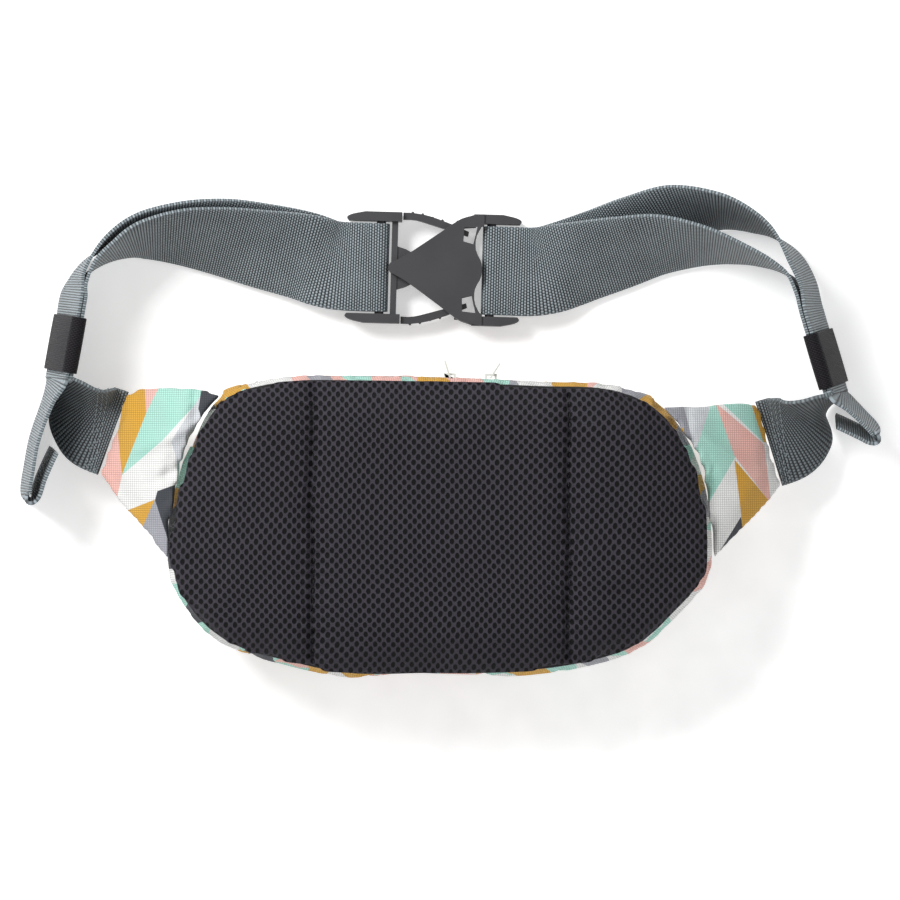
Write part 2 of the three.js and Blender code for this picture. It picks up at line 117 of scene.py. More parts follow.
# %% The value class
class Value:
    """A number that varies over a surface, kept as an output socket."""

    def __init__(self, paint, socket):
        self.paint = paint
        self.socket = socket

    def sum(self, operation, *others):
        terms = dict(enumerate((self,) + others))
        return self.paint.node("ShaderNodeMath", {"operation": operation}, terms)

    def flipped(self, operation, other):
        return self.paint.node("ShaderNodeMath", {"operation": operation}, {0: other, 1: self})

    def __add__(self, other):
        return self.sum("ADD", other)

    def __sub__(self, other):
        return self.sum("SUBTRACT", other)

    def __mul__(self, other):
        return self.sum("MULTIPLY", other)

    def __truediv__(self, other):
        return self.sum("DIVIDE", other)

    def __rsub__(self, other):
        return self.flipped("SUBTRACT", other)

    __radd__ = __add__
    __rmul__ = __mul__

    def at_most(self, other):
        return self.sum("MINIMUM", other)

    def at_least(self, other):
        return self.sum("MAXIMUM", other)

    def floor(self):
        return self.sum("FLOOR")

    def part(self):
        return self.sum("FRACT")

    def size(self):
        return self.sum("ABSOLUTE")

    def root(self):
        return self.sum("SQRT")

    def sine(self):
        """The sine of half a turn for each whole step of the value."""
        return (self * math.pi).sum("SINE")

    def step(self, low, high):
        """0 below low, 1 above high, smooth between."""
        settings = {"interpolation_type": "SMOOTHSTEP"}
        return self.paint.node("ShaderNodeMapRange", settings, {"Value": self, "From Min": low, "From Max": high})


class Paint:
    """One finish: a Principled shader and the nodes that feed it."""

    def __init__(self, name, roughness=0.8, **fixed):
        self.material = bpy.data.materials.new(name)
        self.material.use_nodes = True
        self.tree = self.material.node_tree
        self.shader = self.tree.nodes["Principled BSDF"]
        self.shader.inputs["Roughness"].default_value = roughness
        for socket, value in fixed.items():
            self.shader.inputs[socket.replace("_", " ")].default_value = value

    def node(self, kind, settings=None, inputs=None, output=0):
        made = self.tree.nodes.new(kind)
        for key, value in (settings or {}).items():
            if key == "stops":
                self.set_stops(made.color_ramp, value)
            else:
                setattr(made, key, value)
        for key, value in (inputs or {}).items():
            if isinstance(value, Value):
                self.tree.links.new(value.socket, made.inputs[key])
            else:
                made.inputs[key].default_value = value
        return Value(self, made.outputs[output])

    def set_stops(self, ramp, stops):
        while len(ramp.elements) < len(stops):
            ramp.elements.new(0.5)
        for element, (place, colour) in zip(ramp.elements, stops):
            element.position = place
            element.color = (*colour, 1.0)

    def mix(self, first, second, factor):
        mixed = self.node("ShaderNodeMix", {"data_type": "RGBA"}, {0: factor}, output=2)
        for socket, value in ((6, first), (7, second)):
            target = mixed.socket.node.inputs[socket]
            if isinstance(value, Value):
                self.tree.links.new(value.socket, target)
            else:
                target.default_value = (*value, 1.0)
        return mixed

    def axes(self, source="Object"):
        """The surface's own coordinates in millimetres, as three values."""
        if source == "UV":
            place = self.node("ShaderNodeUVMap", {"uv_map": "weave"})
        else:
            place = self.node("ShaderNodeTexCoord", {}, {}, output=3)
        scaled = self.node("ShaderNodeVectorMath", {"operation": "SCALE"}, {0: place, 3: 1000.0})
        return [self.node("ShaderNodeSeparateXYZ", {}, {0: scaled}, output=i) for i in range(3)]

    def cloud(self, scale, detail=2.0):
        """Soft random shade between 0 and 1, `scale` blobs per metre."""
        place = self.node("ShaderNodeTexCoord", {}, {}, output=3)
        return self.node("ShaderNodeTexNoise", {}, {"Vector": place, "Scale": scale, "Detail": detail})

    def random(self, *numbers):
        vector = self.node("ShaderNodeCombineXYZ", {}, dict(enumerate(numbers)))
        return self.node("ShaderNodeTexWhiteNoise", {"noise_dimensions": "3D"}, {"Vector": vector})

    def finish(self, colour, height=None, depth=0.0003, roughness=None):
        self.tree.links.new(colour.socket, self.shader.inputs["Base Color"])
        if height is not None:
            inputs = {"Height": height, "Distance": depth, "Strength": 1.0}
            bump = self.node("ShaderNodeBump", {}, inputs)
            self.tree.links.new(bump.socket, self.shader.inputs["Normal"])
        if roughness is not None:
            self.tree.links.new(roughness.socket, self.shader.inputs["Roughness"])
        return self.material


def paint_colour(hex_code):
    """A colour as people write it, turned into the linear numbers that a shader wants."""
    parts = [int(hex_code[i:i + 2], 16) / 255 for i in (0, 2, 4)]
    return tuple(p / 12.92 if p <= 0.04045 else ((p + 0.055) / 1.055) ** 2.4 for p in parts)


# %% [markdown]
# ## The finishes
# Each finish below is one function. The belt webbing is ribbed nylon: weft ribs run straight across the band
# about 1.1 mm apart, and the warp breaks each rib into short dashes, shifted by half from rib to rib. The
# pattern follows the band through its own map (`weave`), where u runs along the length and v across it, so it
# turns with every twist.

# %% Webbing, elastic and tape
def woven_band(name, dark, light, rib, dash, depth=0.00035, sheen=0.1, edge_lightening=0.0, painted_shade_end=0.0, source="UV",
               shine=0.5):
    """Ribs across the band, each cut into dashes that are staggered like bricks."""
    paint = Paint(name, roughness=0.6, Sheen_Weight=sheen, Sheen_Roughness=0.4, Specular_IOR_Level=shine)
    along, across, up = paint.axes(source)
    if source == "Object":
        across = across + up
    ribs = along / rib
    stagger = (ribs.floor() * 0.5).part()
    rib_height = ribs.part().sine()
    dash_height = (across / dash + stagger).part().sine()
    height = (rib_height * dash_height.root()).at_least(0.0)
    shade = height * 1.5 + paint.cloud(90.0) * 0.3 + paint.cloud(1400.0, 1.0) * 0.3 - 0.62
    # Painted shade: the band is painted darker over its first stretch from the wing, where it curls down on edge into
    # shade.
    if painted_shade_end:
        shade = shade * (along.step(painted_shade_end - 14, painted_shade_end + 10) * 0.5 + 0.5)
    colour = paint.mix(paint_colour(dark), paint_colour(light), shade.at_least(0.0).at_most(1.0))
    # Both edges of the band are lightened towards the light colour.
    if edge_lightening:
        edge = across.size().step(STRAP_WIDTH / MM / 2 - 1.6, STRAP_WIDTH / MM / 2)
        colour = paint.mix(colour, paint_colour(light), edge * edge_lightening)
    return paint.finish(colour, height, depth)


STRAP_WIDTH = 38 * MM
STRAP_THICK = 1.4 * MM
# The webbing is painted in shade over its first 44 mm from the wing.
webbing_finish = woven_band("webbing weave", "090b0c", "9aa6ac", rib=1.1, dash=1.3, edge_lightening=0.2, painted_shade_end=44)
elastic_finish = woven_band("elastic weave", "0b0a0c", "2b282d", rib=0.75, dash=1.5, depth=0.0002, sheen=0.0,
                            shine=0.12)
tape_finish = woven_band("zip tape weave", "595d61", "b5b8bb", rib=0.5, dash=0.8, depth=0.00015,
                         source="Object")
print("woven bands:", [m.name for m in (webbing_finish, elastic_finish, tape_finish)])

# %% [markdown]
# The back pads are covered in spacer mesh, a knitted cloth with rows of oval holes. The holes sit in two interleaved
# grids, 3.9 mm apart sideways and 4.2 mm up, with thin diagonal threads between. The holes are painted nearly black:
# partly the dark foam seen through them, partly painted shade in their depth. A diagonal stripe of painted highlight
# runs over the threads.


# %% Spacer mesh
MESH_PITCH_X = 3.9
MESH_PITCH_Y = 4.2


def spacer_mesh():
    paint = Paint("spacer mesh", roughness=0.85, Specular_IOR_Level=0.25)
    x, y, _ = paint.axes()
    wobble = paint.cloud(160.0) * 0.5 + paint.cloud(14.0) * 7.0

    def grid(shift):
        dx = ((x + wobble) / MESH_PITCH_X + shift).part() - 0.5
        dy = ((y + wobble) / MESH_PITCH_Y + shift).part() - 0.5
        wide = dx * (MESH_PITCH_X / 0.95)
        tall = dy * (MESH_PITCH_Y / 1.3)
        return (wide * wide + tall * tall).root()

    distance = grid(0.0).at_most(grid(0.5))
    # Painted shade: the holes are near-black, partly the dark foam below and partly shade in their depth.
    hole = 1 - distance.step(0.72, 1.12)
    # Painted highlight: a diagonal stripe lightens the threads, mixed with random tone.
    slant = (x * 1.1 + y * 1.9).part().sine()
    thread = slant * 0.45 + paint.cloud(2200.0, 1.0) * 0.55
    light = paint.mix(paint_colour("100f12"), paint_colour("4a4650"), thread)
    colour = paint.mix(light, paint_colour("050406"), hole)
    height = 1 - hole + thread * 0.25
    return paint.finish(colour, height, 0.0008)


mesh_finish = spacer_mesh()

# %% [markdown]
# The pouch and the wings are cut from a printed canvas: tall slanted triangles and kites in white, mint, mustard, pink,
# lilac grey and charcoal. On a real bag each panel is cut from a different place in the print, so every panel here
# lays its own patches over the same white ground. A patch is a convex shape given by its corners. A point lies inside
# when it is on the inner side of every edge, and one dot product per edge measures that.

# %% Printed canvas
PRINT_COLOURS = {
    "white": "eeeeec", "mint": "aee0d2", "mustard": "d9a43a", "pink": "f0bcb2", "lilac": "a2a3ab",
    "charcoal": "3b3f46",
    "silver": "cfd2d6",
}


def patch_mask(paint, place, corners):
    """1 inside the convex patch whose corners run clockwise or anticlockwise."""
    area = sum(a[0] * b[1] - b[0] * a[1] for a, b in zip(corners, corners[1:] + corners[:1]))
    inside = None
    for (ax, ay), (bx, by) in zip(corners, corners[1:] + corners[:1]):
        length = math.copysign(math.hypot(bx - ax, by - ay), area)
        edge = ((ay - by) / length, (bx - ax) / length, (ax * by - bx * ay) / length)
        depth = paint.node("ShaderNodeVectorMath", {"operation": "DOT_PRODUCT"}, {0: place, 1: edge}, output=1)
        inside = depth if inside is None else inside.at_most(depth)
    return inside.step(-0.12, 0.12)


def scattered_print(paint, x, y, width=15.0, height=36.0, slope=0.34):
    """Slanted columns of tall triangles, each with a colour drawn by chance from the print."""
    slanted = (x + y * slope) / width
    column = slanted.floor()
    climb = y / height + paint.random(column, 3.0)
    cell = climb.floor()
    upper = slanted.part().sum("GREATER_THAN", climb.part())
    draw = paint.random(column, cell, upper)
    order = ["white", "mint", "mustard", "pink", "lilac", "charcoal", "white"]
    starts = [0.0, 0.2, 0.4, 0.56, 0.7, 0.79, 0.9]
    stops = [(start, paint_colour(PRINT_COLOURS[name])) for start, name in zip(starts, order)]
    return paint.node("ShaderNodeValToRGB", {"stops": stops}, {0: draw})


def canvas(paint, x, y, colour, pitch=0.95):
    """Plain weave over a colour: threads over and under, a little dirt and fading."""
    bumps = (x / pitch).sine() * (y / pitch).sine()
    thread = bumps.size().root()
    grain = paint.cloud(1700.0, 1.0)
    shade = 1.1 - (1 - thread) * 0.5 - grain * 0.1
    dark = paint.node("ShaderNodeVectorMath", {"operation": "SCALE"}, {0: colour, 3: shade})
    return paint.finish(dark, thread + grain * 0.3, 0.00022)


def printed_cloth(name, patches=(), source="Object"):
    paint = Paint(name, roughness=0.78, Sheen_Weight=0.08)
    x, y, _ = paint.axes(source)
    if patches:
        colour = paint_colour(PRINT_COLOURS["white"])
        place = paint.node("ShaderNodeCombineXYZ", {}, {0: x, 1: y, 2: 1.0})
        for ink, corners in patches:
            colour = paint.mix(colour, paint_colour(PRINT_COLOURS[ink]), patch_mask(paint, place, corners))
    else:
        colour = scattered_print(paint, x, y)
        colour.socket.node.color_ramp.interpolation = "CONSTANT"
    return canvas(paint, x, y, colour)


LEFT_WING_PATCHES = [
    ("mint", [(-118.7, 60), (-99.5, 60), (-99.8, 55), (-116.6, 36.7), (-134.9, 21.8), (-124.3, 48.3)]),
    ("mustard", [(-133.5, 62), (-125.3, 62), (-124.3, 48.3), (-134.9, 21.8), (-137.1, 40.1)]),
    ("pink", [(-125.4, 61), (-118.0, 61), (-124.3, 48.3)]),
    ("pink", [(-137.1, 41), (-148, 22.2), (-137.9, 9), (-134.9, 21.8)]),
    ("silver", [(-112, 35), (-99.8, 42), (-109, 17)]),
    ("silver", [(-113, 36), (-98, 60), (-88, 56), (-92, 20), (-106, 14)]),
    ("charcoal", [(-113.6, 34.6), (-120, 11.1), (-112, -18), (-88, -18), (-88, 26), (-105, 20)]),
    ("charcoal", [(-99.8, 62), (-86, 58), (-98, 38), (-101.5, 50)]),
    ("mustard", [(-134, 6.2), (-120, 11.5), (-125.5, -3)]),
    ("lilac", [(-127, -3), (-120, 11.5), (-110, -18)]),
]
RIGHT_WING_PATCHES = [
    ("silver", [(103.3, 56), (117.6, 56), (108.5, 30.3), (106.8, 34)]),
    ("lilac", [(90, 56), (103.3, 56), (107.6, 36.7), (98, 36.7)]),
    ("mint", [(117.4, 55), (126.8, 30.3), (120.4, 19.6), (111.5, 5), (108.3, 30.3)]),
    ("mint", [(118.4, 55), (132.6, 56), (139.4, 35.5)]),
    ("pink", [(118.2, 52.6), (139.6, 34.8), (142.4, 9.5), (126, 30)]),
    ("mustard", [(132.8, 56), (136.2, 56), (142.2, 35), (139.2, 36)]),
    ("mustard", [(126, 28.4), (144, 8), (129.8, -3)]),
    ("charcoal", [(128.8, 4.2), (130, -3.4), (118, -12.5)]),
    ("mustard", [(92, 42), (103.4, 42), (108, 30), (113.6, 6), (112, -16), (92, -16)]),
]
wing_finishes = {
    "left": printed_cloth("printed canvas left wing", LEFT_WING_PATCHES),
    "right": printed_cloth("printed canvas right wing", RIGHT_WING_PATCHES),
}
side_print_finish = printed_cloth("printed canvas side", source="UV")
front_print_finish = printed_cloth("printed canvas front")
print("print finishes:", 2 + len(wing_finishes))

# %% [markdown]
# The hard parts are simple finishes: satin black nylon with a faint moulded grain for the buckle, nickel-plated zinc
# for the zip sliders, bright nylon for the coil, and spun thread for the stitches.


# %% Plastic, metal and thread
def moulded(name, colour, roughness, grain=0.00003, **fixed):
    paint = Paint(name, roughness=roughness, **fixed)
    mottle = paint.cloud(60.0)
    fine = paint.cloud(5200.0, 1.0)
    dark = tuple(c * 0.8 for c in paint_colour(colour))
    light = tuple(min(1.0, c * 1.25) for c in paint_colour(colour))
    shade = mottle * 0.7 + fine * 0.3
    paint.finish(paint.mix(dark, light, shade), fine, grain, roughness=mottle * 0.12 + (roughness - 0.06))
    return paint.material


plastic_finish = moulded("satin nylon", "38383b", 0.4)
zinc_finish = moulded("plated zinc", "dcddd6", 0.3, grain=0.00001, Metallic=0.2)
coil_finish = moulded("zip coil nylon", "c9ccce", 0.45)
foam_finish = moulded("black lining", "1c1b1e", 0.9, grain=0.0001)
thread_finish = moulded("black thread", "1b1a1d", 0.7, grain=0.0001)
pale_thread_finish = moulded("grey thread", "7d868a", 0.7, grain=0.0001)
floor_finish = moulded("white table", "ebebeb", 0.6, grain=0.0, Emission_Color=(1, 1, 1, 1), Emission_Strength=0.42)

# %% [markdown]
# ## Helpers for making pieces
# A new piece is built as a bmesh, written to a mesh, given its finish and told which body it rides on. Many of the
# hard parts already have the right shape in the frame; there a copy is cleaned up and its edges are rounded, since no
# moulded part has a knife edge.


# %% From a bmesh to a finished piece
def new_piece(name, bm, finish, body, smooth=True, slot=None):
    mesh = bpy.data.meshes.new(name)
    bm.to_mesh(mesh)
    bm.free()
    mesh.materials.append(finish)
    if smooth:
        mesh.polygons.foreach_set("use_smooth", [True] * len(mesh.polygons))
    piece = bpy.data.objects.new(name, mesh)
    bpy.context.scene.collection.objects.link(piece)
    if body:
        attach(piece, body)
    return piece


def node_bmesh(node):
    """A cleaned copy of a frame piece: shared corners merged, flat triangles joined into whole faces."""
    bm = bmesh.new()
    bm.from_mesh(nodes[node].data)
    bmesh.ops.remove_doubles(bm, verts=bm.verts, dist=0.00001)
    bmesh.ops.dissolve_limit(bm, angle_limit=math.radians(1.0), verts=bm.verts, edges=bm.edges)
    return bm


def apply_modifiers(piece):
    """Bakes the live modifiers into the mesh."""
    graph = bpy.context.evaluated_depsgraph_get()
    graph.update()
    baked = bpy.data.meshes.new_from_object(piece.evaluated_get(graph))
    old = piece.data
    piece.modifiers.clear()
    piece.data = baked
    bpy.data.meshes.remove(old)


def rounded_copy(node, finish, body, slot, width=0.45 * MM, segments=3, angle=28):
    """The frame piece with softly rounded edges."""
    piece = new_piece(node + "_moulded", node_bmesh(node), finish, body, slot=slot)
    bevel = piece.modifiers.new("round", "BEVEL")
    bevel.width = width
    bevel.segments = segments
    bevel.limit_method = "ANGLE"
    bevel.angle_limit = math.radians(angle)
    piece.modifiers.new("face normals", "WEIGHTED_NORMAL")
    apply_modifiers(piece)
    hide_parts(node)
    return piece


# %% [markdown]
# ## The webbing
# Each side of the belt is one length of webbing. It is sewn into the wing, rolls up on edge, runs through the
# keeper, goes round the buckle's bar and comes back through the keeper to a folded hem. The route is the same list of
# stations as the frame's own band: x, y, z and a roll, where 0 lies flat at the wing and 180 lies flat again at the
# buckle. Cloth simulation would erase such a thin strip, so it is swept directly.

# %% Stations of the belt
KEEPERS = {
    "left": {"at": (-160, 78.1, 20.9), "along": (0.18, 0.984), "lean": 18, "side": -1},
    "right": {"at": (166.4, 71.6, 20.9), "along": (-0.286, 0.958), "lean": 16, "side": 1},
}
LAYER_OFFSET = 0.95
BELT = {
    "left": {
        "anchor": [(-139.6, 39.7, 20, 0), (-147.5, 42.8, 20, 12), (-153.4, 47.6, 20.2, 34), (-158.4, 55, 20.6, 56)],
        "inner": [(-152.3, 105, 20.5, 80), (-145.5, 113.2, 20.5, 90), (-137, 118.6, 20.4, 98),
                  (-127.2, 122.5, 20, 110), (-110.2, 124, 18.2, 125), (-93.1, 122.3, 15.6, 137),
                  (-76, 119.1, 12.8, 149), (-58.9, 115.9, 10.6, 163), (-46, 112.5, 9.6, 178)],
        "tail": [(-176.9, 15.4, 20.4, 79), (-175.6, 24.5, 20.4, 79), (-173.2, 37, 20.6, 79), (-167.2, 54, 20.8, 78)],
        "hem": [(-176.5, 12.6), (-174.8, 11.5), (-173.1, 12.9), (-170.6, 20), (-167.6, 27), (-164.9, 32.6)],
        "outer": [(-154, 108.5, 20.8, 79), (-147.6, 116.6, 20.6, 86), (-137, 123.8, 20.4, 98),
                  (-127.2, 127.6, 19.6, 107), (-110.2, 128.3, 17.5, 122), (-93.1, 126, 14.2, 138),
                  (-76, 121.6, 10.4, 153), (-58.9, 117.2, 7, 165), (-46, 112.6, 4, 178)],
    },
    "right": {
        "anchor": [(142.1, 35.2, 20, 0), (150, 37.9, 20, 12), (157, 43, 20.2, 34), (163.2, 50.6, 20.6, 72)],
        "inner": [(155, 101.6, 20.6, 79), (149.4, 108.2, 20.5, 86), (141, 112.9, 20.4, 92), (129, 117, 20, 100),
                  (111.9, 120.4, 18.9, 114), (94.8, 120.9, 16.4, 129), (77.7, 117.4, 13.6, 142),
                  (60.6, 113.4, 11, 155), (44, 109.7, 9.6, 178)],
        "tail": [(187.2, 41.4, 20.4, 79), (182.6, 46.4, 20.4, 79), (176.6, 52.3, 20.7, 78)],
        "hem": [(188, 39.5), (187.2, 38), (185.4, 38.1), (181, 40.2), (175.6, 42.8), (170.8, 45)],
        "outer": [(158.6, 104, 20.9, 75), (152.8, 115, 20.8, 77), (145.6, 123.4, 20.6, 86), (137.5, 129, 20.4, 96),
                  (120.4, 135, 19.4, 110), (103.3, 133.6, 16.2, 131), (86.3, 126.4, 11.8, 147),
                  (69.2, 118, 7.6, 163), (44, 109.8, 3.6, 178)],
    },
}
BUCKLE_AT = Vector((-2.1, 110.7, 0))
BUCKLE_TURN = Matrix.Rotation(math.radians(-1.6), 3, "Z")
BAR_X = {"left": -23, "right": 24.7}
BAR_Z = 6.5
WRAP = 3


def keeper_axes(keeper):
    """Directions at a keeper: along the webbing, across it, and out of the outer face."""
    travel = Vector((*keeper["along"], 0)).normalized()
    side = keeper["side"]
    inboard = Vector((-side * travel.y, side * travel.x, 0))
    lean = math.radians(keeper["lean"])
    across = inboard * math.sin(lean) + Vector((0, 0, 1)) * math.cos(lean)
    return travel, across, travel.cross(across) * side


def through_keeper(keeper, layer):
    travel, across, outward = keeper_axes(keeper)
    middle = Vector(keeper["at"]) + outward * layer * LAYER_OFFSET
    return [(middle + travel * d, across) for d in (-16, -14.5, -13, -3, 9, 22)]


def lay(rows, side):
    """Stations for rows of x, y, z, roll, with the roll turned about the plan direction of travel."""
    stations = []
    for i, (x, y, z, roll) in enumerate(rows):
        before, after = rows[max(0, i - 1)], rows[min(len(rows) - 1, i + 1)]
        travel = Vector((after[0] - before[0], after[1] - before[1])).normalized()
        angle = math.radians(roll)
        level = Vector((-side * travel.y, side * travel.x, 0))
        stations.append((Vector((x, y, z)), level * math.cos(angle) + Vector((0, 0, math.sin(angle)))))
    return stations


def round_bar(name, side):
    bar_x = BAR_X[name]
    lead = [(bar_x + side * 8, WRAP + 0.1), (bar_x + side * 3, WRAP)]
    turns = [math.radians(a) for a in (90, 45, 0, -45, -90)]
    arc = [(bar_x - side * WRAP * math.cos(a), WRAP * math.sin(a)) for a in turns]
    back = [(x, -z) for x, z in reversed(lead)]
    across = BUCKLE_TURN @ Vector((0, 1, 0))
    return [(BUCKLE_TURN @ Vector((x, 0, BAR_Z + z)) + BUCKLE_AT, across) for x, z in lead + arc + back]


def strap_stations(name):
    keeper, belt = KEEPERS[name], BELT[name]
    side = keeper["side"]
    tail = lay(belt["tail"], side)
    hem = [(Vector((x, y, belt["tail"][0][2])), tail[0][1]) for x, y in belt["hem"]]
    main = lay(belt["anchor"], side) + through_keeper(keeper, -1) + lay(belt["inner"], side)
    back = lay(belt["outer"], side)[::-1] + through_keeper(keeper, 1)[::-1] + tail[::-1]
    return main + round_bar(name, side) + back + hem


# %% [markdown]
# A smooth curve runs through the stations. At each of its points a straight row of corners is laid across the band,
# which makes a strip that a Solidify modifier thickens and a Bevel rounds.

# %% Sweep the webbing
def spline_point(points, t, even=False):
    """A smooth curve through the points; `even` spaces its tangents without regard to distance."""
    last = len(points) - 1
    i = min(int(t * last), last - 1)
    local = t * last - i
    p1, p2 = points[i], points[i + 1]
    p0 = points[i - 1] if i > 0 else p1 * 2 - p2
    p3 = points[i + 2] if i + 2 <= last else p2 * 2 - p1
    if even:
        out, into = (p2 - p0) * 0.5, (p3 - p1) * 0.5
    else:
        d0, d1, d2 = (max(1e-4, (b - a).length) ** 0.5 for a, b in ((p0, p1), (p1, p2), (p2, p3)))
        out = ((p1 - p0) / d0 - (p2 - p0) / (d0 + d1) + (p2 - p1) / d1) * d1
        into = ((p2 - p1) / d1 - (p3 - p1) / (d1 + d2) + (p3 - p2) / d2) * d1
    square, cube = local ** 2, local ** 3
    return p1 * (2 * cube - 3 * square + 1) + out * (cube - 2 * square + local) \
        + p2 * (3 * square - 2 * cube) + into * (cube - square)


def band_frames(stations, per_station):
    """Points along the band with their across directions and the length so far, in millimetres."""
    points, acrosses = [s[0] for s in stations], [s[1] for s in stations]
    count = (len(stations) - 1) * per_station
    middle = [spline_point(points, k / count) for k in range(count + 1)]
    frames, run = [], 0.0
    for k, point in enumerate(middle):
        travel = (middle[min(count, k + 1)] - middle[max(0, k - 1)]).normalized()
        across = spline_point(acrosses, k / count, even=True)
        across = (across - travel * across.dot(travel)).normalized()
        run += (point - middle[k - 1]).length if k else 0.0
        frames.append((point, across, run))
    return frames


def grid_piece_bmesh(columns, rows, place, weave):
    """A grid of quads; place(u, v) and weave(u, v) give each corner's point and map, with u and v from 0 to 1."""
    bm = bmesh.new()
    bmesh.ops.create_grid(bm, x_segments=columns, y_segments=rows, size=0.5)
    uv = bm.loops.layers.uv.new("weave")
    spots = {v: (v.co.x + 0.5, v.co.y + 0.5) for v in bm.verts}
    for face in bm.faces:
        for loop in face.loops:
            loop[uv].uv = weave(*spots[loop.vert])
    for v, spot in spots.items():
        v.co = place(*spot)
    return bm


def thicken(piece, thickness, offset=0.0, round_width=0.0, segments=2):
    solid = piece.modifiers.new("thickness", "SOLIDIFY")
    solid.thickness = thickness
    solid.offset = offset
    solid.use_even_offset = False
    if round_width:
        bevel = piece.modifiers.new("round", "BEVEL")
        bevel.width = round_width
        bevel.segments = segments
        bevel.limit_method = "ANGLE"
        bevel.angle_limit = math.radians(50)
    apply_modifiers(piece)


def band_piece(name, stations, width, body, finish, per_station=10, rows=8):
    frames = band_frames(stations, per_station)
    last = len(frames) - 1

    def place(u, v):
        point, across, _ = frames[round(u * last)]
        side = v * 2 - 1
        return (point + across * side * width / 2) * MM

    def weave(u, v):
        return frames[round(u * last)][2] * MM, (v - 0.5) * width * MM

    bm = grid_piece_bmesh(last, rows, place, weave)
    return new_piece(name, bm, finish, body, slot="webbing")


webbing = {}
for name in ("left", "right"):
    rides_on = "bag" if name == "right" else None
    strap = band_piece("belt_" + name, strap_stations(name), STRAP_WIDTH / MM, rides_on, webbing_finish)
    thicken(strap, STRAP_THICK, round_width=0.35 * MM)
    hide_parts("webbing_" + name)
    webbing[name] = strap
    if name == "left":
        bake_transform(strap)
    print(strap.name, len(strap.data.polygons), "faces")

# %% [markdown]
# ## The keepers
# A keeper is a loop of woven elastic that holds the strap's tail against the belt. It is a band wrapped round a flat
# rounded core, a little looser than the two layers inside it.


# %% Keeper bands
def rounded_loop(half_width, half_thick, radius, u):
    """Point on a rounded rectangle at share u of its outline, starting in the middle of one long side."""
    straight, side, turn = half_width - radius, half_thick - radius, math.pi * radius / 2
    legs = [straight, turn, 2 * side, turn, 2 * straight, turn, 2 * side, turn, straight]
    distance = u * sum(legs)
    x, y, heading = 0.0, half_thick, 0.0
    for i, leg in enumerate(legs):
        step = min(distance, leg)
        if i % 2:
            angle = step / radius
            x += radius * (math.sin(heading + angle) - math.sin(heading))
            y += radius * (math.cos(heading + angle) - math.cos(heading))
            heading += angle
        else:
            x += step * math.cos(heading)
            y -= step * math.sin(heading)
        distance -= step
        if distance <= 0:
            break
    return x, y, sum(legs)


KEEPER_LENGTH = 24
KEEPER_ROOM = (1.0, 1.05)
for name, keeper in KEEPERS.items():
    travel, across, outward = keeper_axes(keeper)
    half_width = (STRAP_WIDTH / MM) / 2 + KEEPER_ROOM[0]
    half_thick = LAYER_OFFSET + (STRAP_THICK / MM) / 2 + KEEPER_ROOM[1]
    turn_radius = half_thick - 0.1

    def place(u, v):
        x, y, _ = rounded_loop(half_width, half_thick, turn_radius, u)
        arch = math.sin(math.pi * (v * 0.8 + 0.1)) * math.cos(x / half_width * math.pi / 2)
        bowed = y + 0.9 * arch * math.copysign(1, y)
        centre = Vector(keeper["at"]) + travel * (v - 0.5) * KEEPER_LENGTH
        return (centre + across * x + outward * bowed) * MM

    def weave(u, v):
        girth = rounded_loop(half_width, half_thick, turn_radius, 1.0)[2]
        return v * KEEPER_LENGTH * MM, (u - 0.5) * girth * MM

    bm = grid_piece_bmesh(96, 10, place, weave)
    bmesh.ops.remove_doubles(bm, verts=bm.verts, dist=0.00002)
    band = new_piece("elastic_keeper_" + name, bm, elastic_finish, "band_" + name, slot="elastic")
    thicken(band, 1.0 * MM, round_width=0.3 * MM)
    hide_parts("keeper_" + name)
    print(band.name, len(band.data.polygons), "faces")

# %% [markdown]
# ## The buckle and the zip fittings
# These pieces keep the shape that the frame gives them, because their fits and joints depend on it. Each copy gets its
# edges rounded, as every moulded or cast part has them.

# %% Hard parts
HARD_PARTS = [
    ("buckle_female", plastic_finish, "bag", "buckle_plastic", 0.7),
    ("buckle_male", plastic_finish, "male_half", "buckle_plastic", 0.7),
    ("squeeze_arm_upper", plastic_finish, "arm_upper", "buckle_plastic", 0.5),
    ("squeeze_arm_lower", plastic_finish, "arm_lower", "buckle_plastic", 0.5),
    ("main_zip_slider_left", zinc_finish, "slider_left", "zip_metal", 0.25),
    ("main_zip_slider_right", zinc_finish, "slider_right", "zip_metal", 0.25),
    ("main_zip_pull_left", zinc_finish, "pull_left", "zip_metal", 0.15),
    ("main_zip_pull_right", zinc_finish, "pull_right", "zip_metal", 0.15),
    ("pocket_zip_slider", zinc_finish, "slider_pocket", "zip_metal", 0.25),
    ("pocket_zip_pull", zinc_finish, "pull_pocket", "zip_metal", 0.15),
]
for node, finish, body, slot, width in HARD_PARTS:
    piece = rounded_copy(node, finish, body, slot, width * MM)
    print(piece.name, len(piece.data.polygons), "faces")

# %% [markdown]
# ## Cloth that settles
# Padded fabric looks right when it has been allowed to swell. Each soft piece is run as cloth for twenty frames with a
# little air pressure inside and no gravity. A small negative shrink makes the cloth slightly too big for its place, so
# it buckles between its seams as sewn fabric does. No point may end further from its start than the cap.


# %% A short cloth run
CLOTH_FRAMES = 20


